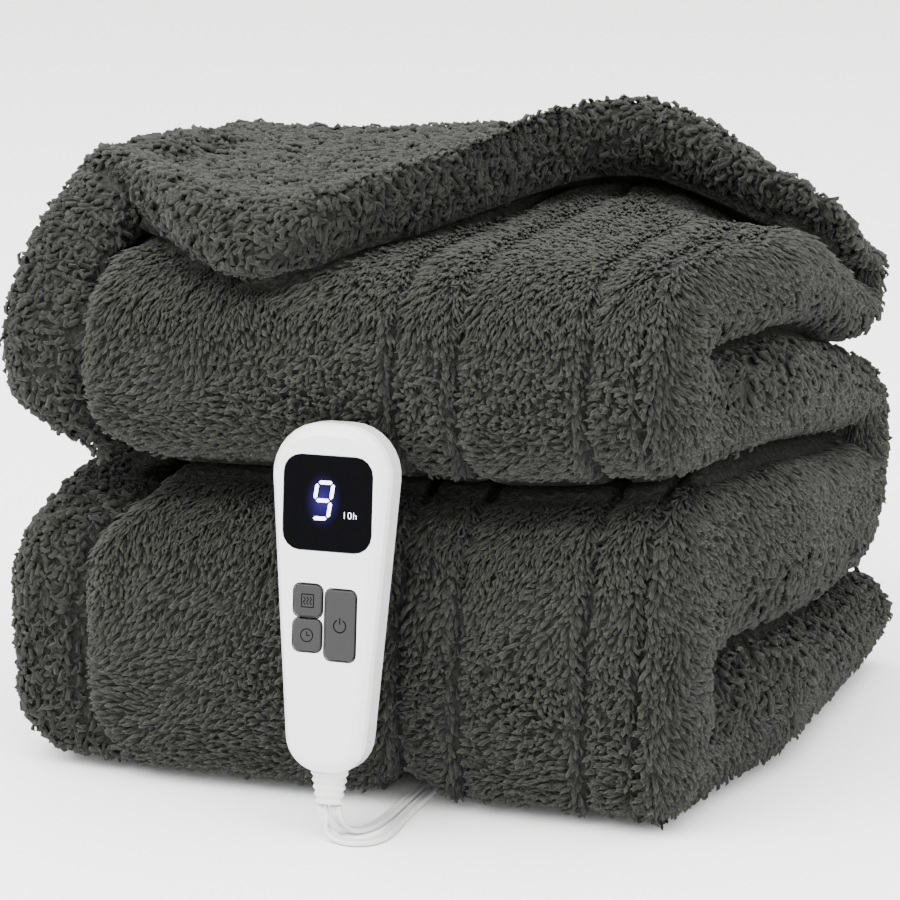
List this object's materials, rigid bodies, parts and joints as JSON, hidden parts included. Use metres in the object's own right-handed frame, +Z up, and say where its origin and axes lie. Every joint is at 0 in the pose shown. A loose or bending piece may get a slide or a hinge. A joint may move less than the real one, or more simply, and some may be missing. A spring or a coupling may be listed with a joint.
{
  "type": "folded electric heated blanket with handset controller",
  "caption": "Thick plush electric throw folded back and forth into a stack, with a white display handset leaning on its front, its leads coiled behind.",
  "frame": {"origin": "on the surface that the throw rests on, below the middle of the folded cloth", "axes": "+Z up, +X to the right along the front folds, +Y from the front folds to the back"},
  "size_m": [0.3192, 0.409, 0.2617],
  "materials": {
    "plush": "long combed pile outside, short curly pile inside, matt",
    "shell": "smooth white, glossy",
    "window": "black, glossy, with lit segments below it",
    "key": "grey, satin, with printed symbols",
    "relief": "white, soft, ribbed",
    "flex": "white flat twin flex, satin",
    "moulding": "white moulded plug and connector, satin",
    "blade": "nickel plated"
  },
  "bodies": {
    "throw": {"blanket": "plush", "handset_front": "shell", "handset_back": "shell", "display_window": "window", "handset_relief": "relief", "mains_lead": "flex", "throw_lead": "flex", "mains_tail": "flex", "throw_tail": "flex", "mains_coil": "flex", "throw_coil": "flex", "plug_relief": "relief", "plug_body": "moulding", "plug_blade_left": "blade", "plug_blade_right": "blade", "connector_relief": "relief", "connector": "moulding", "inlet": "moulding"},
    "heat_key": {"key_heat": "key"},
    "timer_key": {"key_timer": "key"},
    "power_key": {"key_power": "key"}
  },
  "joints": [
    {"name": "heat_key_press", "type": "slide", "parent": "throw", "child": "heat_key", "axis": [0, 0.9914, -0.1305], "range_m": [0, 0.0008], "stiffness_N_per_m": 800, "springref_m": -0.0005},
    {"name": "timer_key_press", "type": "slide", "parent": "throw", "child": "timer_key", "axis": [0, 0.9914, -0.1305], "range_m": [0, 0.0008], "stiffness_N_per_m": 800, "springref_m": -0.0005},
    {"name": "power_key_press", "type": "slide", "parent": "throw", "child": "power_key", "axis": [0, 0.9914, -0.1305], "range_m": [0, 0.0008], "stiffness_N_per_m": 800, "springref_m": -0.0005}
  ]
}
